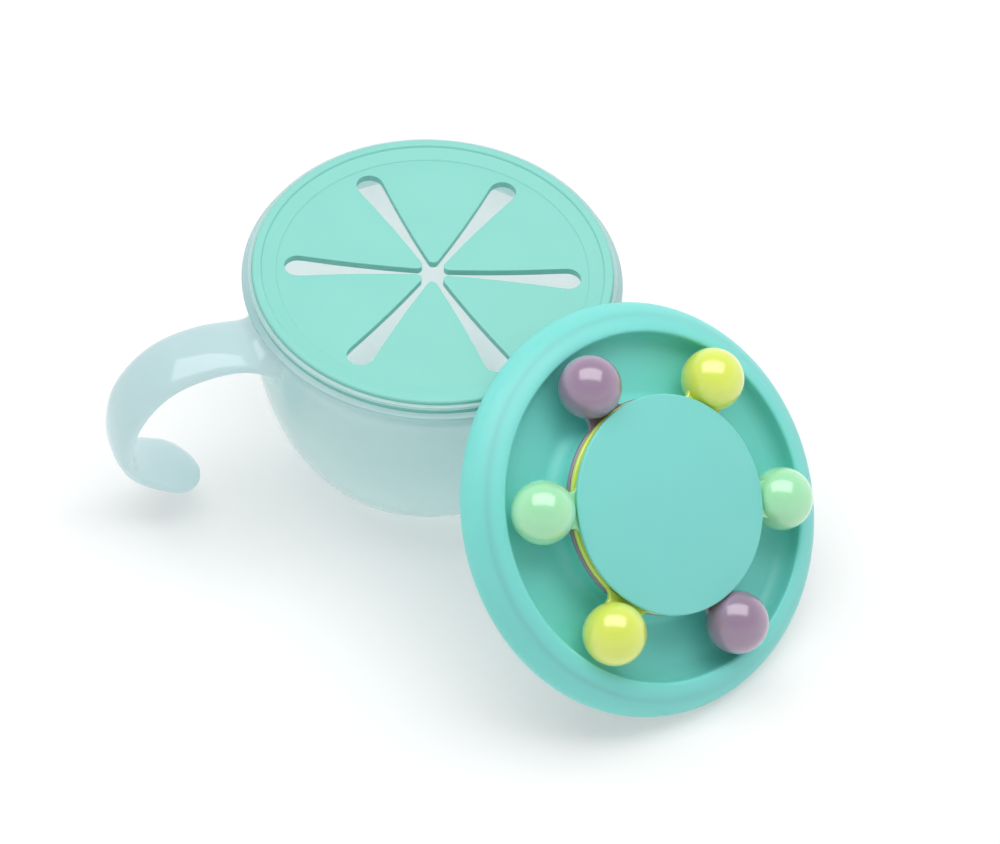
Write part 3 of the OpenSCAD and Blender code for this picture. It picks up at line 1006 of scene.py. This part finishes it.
class SNACK_OT_rotors(bpy.types.Operator):
    """Models the three rotors: a ring on the hub, two necks and two balls each"""

    bl_idname = "snack.rotors"
    bl_label = "Rotors"

    def execute(self, context):
        size, finishes = context.scene.snack_spinner, context.scene.snack_finish
        for level, (name, slot, tint, less, angle) in enumerate(ROTORS):
            rotor = self.rotor(context, level, size.ring - less * MM)
            rotor.name = "ball_rotor_" + name
            rotor.rotation_euler = (0, 0, math.radians(angle))
            apply_place(rotor)
            on_lid(rotor)
            finish(rotor, rotor_finish("gloss_abs_" + tint, getattr(finishes, tint)))
            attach(rotor, "rotor_" + name)
            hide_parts("rotor_" + name)
        return {"FINISHED"}

    def rotor(self, context, level, ring_r):
        """A ring round the hub, with a ball on a neck at either side."""
        size, lid = context.scene.snack_spinner, context.scene.snack_lid
        base = lid.island_height + size.spacing + level * (size.plate + size.spacing)
        hole = lid.hub + size.hub_fit
        soft = 0.3 * MM
        top = base + size.plate
        ring = lathe(
            "ring",
            [(hole, base)]
            + arc(ring_r - soft, base + soft, soft, -90, 0, 3)
            + arc(ring_r - soft, top - soft, soft, 0, 90, 3)
            + [(hole, top)],
        )
        # The neck's two hollows touch the ring and the ball, and its ends run into both.
        face = max(abs(base - size.ball_height), abs(top - size.ball_height))
        ball_face = math.sqrt(size.ball**2 - face**2)
        to_ring, to_ball = ring_r + size.neck, ball_face + size.neck
        neck_x = (to_ring**2 - to_ball**2 + size.path**2) / (2 * size.path)
        neck_y = math.sqrt(to_ring**2 - neck_x**2)
        start = math.degrees(math.atan2(-neck_y, -neck_x))
        stop = math.degrees(math.atan2(-neck_y, size.path - neck_x))
        half = arc(neck_x, neck_y, size.neck, start, stop, 12)
        half = [(ring_r - 2 * MM, half[0][1] * 0.92)] + half + [(size.path, half[-1][1] * 0.8)]
        parts = [ring]
        for side in (0, math.pi):
            neck = self.neck(half, base, top, soft)
            deselect_all()
            bpy.ops.mesh.primitive_uv_sphere_add(
                segments=64,
                ring_count=40,
                radius=size.ball,
                location=(size.path, 0, size.ball_height),
            )
            ball = bpy.context.object
            apply_place(ball)
            for part in (neck, ball):
                part.rotation_euler = (0, 0, side)
                apply_place(part)
                parts.append(part)
        join(*parts)
        return finish_mesh(ring)

    def neck(self, half, base, top, soft):
        """The web between ring and ball: its waisted outline, thickened and softened."""
        neck = ribbon("neck", half, 6, base)
        select_all()
        extrude(0, 0, top - base)
        leave_edit()
        finish_mesh(neck)

        def width(x):
            return min(half, key=lambda p: abs(p[0] - x))[1]

        def outline(edge):
            a, b = (neck.data.vertices[i].co for i in edge.vertices)
            level = abs(a.z - b.z) < 0.1 * TOUCH
            return level and all(abs(abs(v.y) - width(v.x)) < TOUCH for v in (a, b))

        edit(neck)
        pick(neck, outline, "EDGE")
        round_edges(soft)
        return neck


class SNACK_OT_cap(bpy.types.Operator):
    """Models the crowned cap over the rotors and its stem"""

    bl_idname = "snack.cap"
    bl_label = "Cap"

    def execute(self, context):
        size, lid = context.scene.snack_spinner, context.scene.snack_lid
        base = lid.island_height + size.spacing + 3 * (size.plate + size.spacing)
        edge_top = base + size.cap_edge
        soft, steps = 0.55 * MM, 16
        flat = size.cap - soft
        dome = []
        for i in range(steps + 1):
            r = flat * (1 - i / steps)
            dome.append((r, edge_top + size.cap_crown * (1 - (r / flat) ** 2)))
        outline = [(0, base), *arc(flat, base + soft, soft, -90, 0, 5)]
        outline += arc(flat, edge_top - soft, soft, 0, 84, 6) + dome
        cap = lathe("spinner_cap_moulding", outline, steps=180)
        stem_r = lid.hub - lid.hub_wall - 0.07 * MM
        hole, chamfer = stem_r - 2 * MM, 0.3 * MM
        low, high = lid.island_height + 0.3 * MM, base + size.cap_edge / 2
        stem = lathe(
            "stem",
            [(hole, low), (stem_r - chamfer, low), (stem_r, low + chamfer)]
            + [(stem_r, high), (hole, high)],
        )
        join(cap, stem)
        on_lid(cap)
        finish(cap, cap_finish())
        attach(cap, "lid")
        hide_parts("spinner_cap")
        return {"FINISHED"}


# Camera: what it aims at, how far off and from where, its roll, its lens and its sensor's width
# in millimetres, and where in the picture the target lies.
CAMERA_TARGET = Vector((0, 0, 0.070))
CAMERA_DISTANCE = 1.400
CAMERA_TURN = math.radians(-22.9)
CAMERA_PITCH = math.radians(48.15)
CAMERA_ROLL = math.radians(4.20)
CAMERA_LENS = 181.62
SENSOR = 36
TARGET_PIXEL = (432.78, 272.10)
PICTURE = (1000, 844)
# The overhead softbox: its place, across and away from the camera, its two sides and its power.
SOFTBOX_PLACE = Vector((0, 0.1, 1.0))
SOFTBOX = (1.39, 0.785)
SOFTBOX_POWER = 10.0
# How much of the sweep the camera sees as white, past what the light makes of it.
WHITE_SHARE = 0.35
# Strength of the studio's light at the horizon and at its ceiling, and the sine of the elevation
# at which the ceiling begins.
HORIZON_LIGHT, CEILING_LIGHT, CEILING_SINE = 1.05, 0.33, 0.7


class SNACK_OT_stage(bpy.types.Operator):
    """Sets the pale sweep, the studio's light, the overhead softbox and the camera"""

    bl_idname = "snack.stage"
    bl_label = "Stage"

    def execute(self, context):
        self.floor(context)
        self.lights(context)
        self.camera(context)
        context.scene.view_settings.view_transform = "Standard"
        return {"FINISHED"}

    def floor(self, context):
        deselect_all()
        bpy.ops.mesh.primitive_plane_add(size=8, location=(0, 0, 0))
        floor = context.object
        floor.name = "paper_sweep"
        material = bpy.data.materials.new("white_paper")
        material.use_nodes = True
        tree = material.node_tree
        tree.nodes.clear()
        tint = (*context.scene.snack_finish.floor, 1)
        surface = {"Base Color": tint, "Roughness": 0.9, "Specular IOR Level": 0.1}
        shader = add(tree, "ShaderNodeBsdfPrincipled", surface)
        # The sweep is lit past white round the cup, so the camera and mirrors see part of it white.
        rays = add(tree, "ShaderNodeLightPath")
        seen = rays.outputs["Is Camera Ray"]
        for kind in ("Is Glossy Ray", "Is Transmission Ray"):
            links = {0: seen, 1: rays.outputs[kind]}
            seen = add(tree, "ShaderNodeMath", links=links, operation="MAXIMUM").outputs["Value"]
        share = add(tree, "ShaderNodeMath", {1: WHITE_SHARE}, {0: seen}, operation="MULTIPLY")
        white = add(tree, "ShaderNodeEmission", {"Color": (1, 1, 1, 1), "Strength": 1.0})
        links = {0: share.outputs["Value"], 1: shader.outputs["BSDF"], 2: white.outputs["Emission"]}
        mixed = add(tree, "ShaderNodeMixShader", links=links)
        add(tree, "ShaderNodeOutputMaterial", links={"Surface": mixed.outputs["Shader"]})
        finish(floor, material)

    def lights(self, context):
        world = bpy.data.worlds.new("studio")
        context.scene.world = world
        world.use_nodes = True
        tree = world.node_tree
        tree.nodes.clear()
        # A studio whose pale walls are brighter than its ceiling.
        way = add(tree, "ShaderNodeTexCoord").outputs["Generated"]
        height = add(tree, "ShaderNodeSeparateXYZ", links={"Vector": way})
        up = height.outputs["Z"]
        level = scaled(tree, up, 0, CEILING_SINE, HORIZON_LIGHT, CEILING_LIGHT)
        sky = add(tree, "ShaderNodeBackground", {"Color": (1, 1, 1, 1)}, {"Strength": level})
        add(tree, "ShaderNodeOutputWorld", links={"Surface": sky.outputs["Background"]})
        deselect_all()
        about = Matrix.Rotation(CAMERA_TURN, 4, "Z")
        bpy.ops.object.light_add(
            type="AREA", location=about @ SOFTBOX_PLACE, rotation=(0, 0, CAMERA_TURN)
        )
        softbox = context.object
        softbox.name = "overhead_softbox"
        softbox.data.shape = "RECTANGLE"
        softbox.data.size, softbox.data.size_y = SOFTBOX
        softbox.data.energy = SOFTBOX_POWER

    def camera(self, context):
        forward = Vector((0, math.cos(CAMERA_PITCH), -math.sin(CAMERA_PITCH)))
        up = Vector((0, math.sin(CAMERA_PITCH), math.cos(CAMERA_PITCH)))
        side = Vector((1, 0, 0))
        right = math.cos(CAMERA_ROLL) * side + math.sin(CAMERA_ROLL) * up
        up = -math.sin(CAMERA_ROLL) * side + math.cos(CAMERA_ROLL) * up
        focal = CAMERA_LENS / SENSOR * PICTURE[0]
        across = (TARGET_PIXEL[0] - PICTURE[0] / 2) / focal
        down = (TARGET_PIXEL[1] - PICTURE[1] / 2) / focal
        about = Matrix.Rotation(CAMERA_TURN, 3, "Z")
        back = CAMERA_DISTANCE * (forward + across * right - down * up)
        place = CAMERA_TARGET - about @ back
        axes = Matrix((about @ right, about @ up, about @ -forward)).transposed()
        deselect_all()
        bpy.ops.object.camera_add(location=place, rotation=axes.to_euler())
        context.object.data.lens = CAMERA_LENS
        context.object.data.sensor_width = SENSOR
        context.object.data.clip_end = 20
        context.scene.camera = context.object


class SNACK_PT_panel(bpy.types.Panel):
    """Lists the cup's sizes, finishes and pieces"""

    bl_idname = "SNACK_PT_panel"
    bl_label = "Snack cup"
    bl_space_type = "VIEW_3D"
    bl_region_type = "UI"
    bl_category = "Snack cup"

    def draw(self, context):
        layout = self.layout
        for name in SIZES:
            box = layout.box()
            box.label(text=name.replace("_", " "))
            group = getattr(context.scene, name)
            for key in group.bl_rna.properties.keys():
                if key not in {"rna_type", "name"}:
                    box.prop(group, key)
        for operator in STEPS:
            layout.operator(operator.bl_idname)


STEPS = (
    SNACK_OT_stage,
    SNACK_OT_cup,
    SNACK_OT_trap_ring,
    SNACK_OT_trap_sheet,
    SNACK_OT_flaps,
    SNACK_OT_lid,
    SNACK_OT_rotors,
    SNACK_OT_cap,
)


def register():
    for group in SIZES.values():
        bpy.utils.register_class(group)
    for operator in STEPS:
        bpy.utils.register_class(operator)
    bpy.utils.register_class(SNACK_PT_panel)
    for name, group in SIZES.items():
        setattr(bpy.types.Scene, name, bpy.props.PointerProperty(type=group))


def unregister():
    for name in SIZES:
        delattr(bpy.types.Scene, name)
    bpy.utils.unregister_class(SNACK_PT_panel)
    for operator in reversed(STEPS):
        bpy.utils.unregister_class(operator)
    for group in reversed(list(SIZES.values())):
        bpy.utils.unregister_class(group)


def main():
    register()
    bpy.ops.snack.stage()
    bpy.ops.snack.cup()
    bpy.ops.snack.trap_ring()
    bpy.ops.snack.trap_sheet()
    bpy.ops.snack.flaps()
    bpy.ops.snack.lid()
    bpy.ops.snack.rotors()
    bpy.ops.snack.cap()


if __name__ == "__main__":
    main()
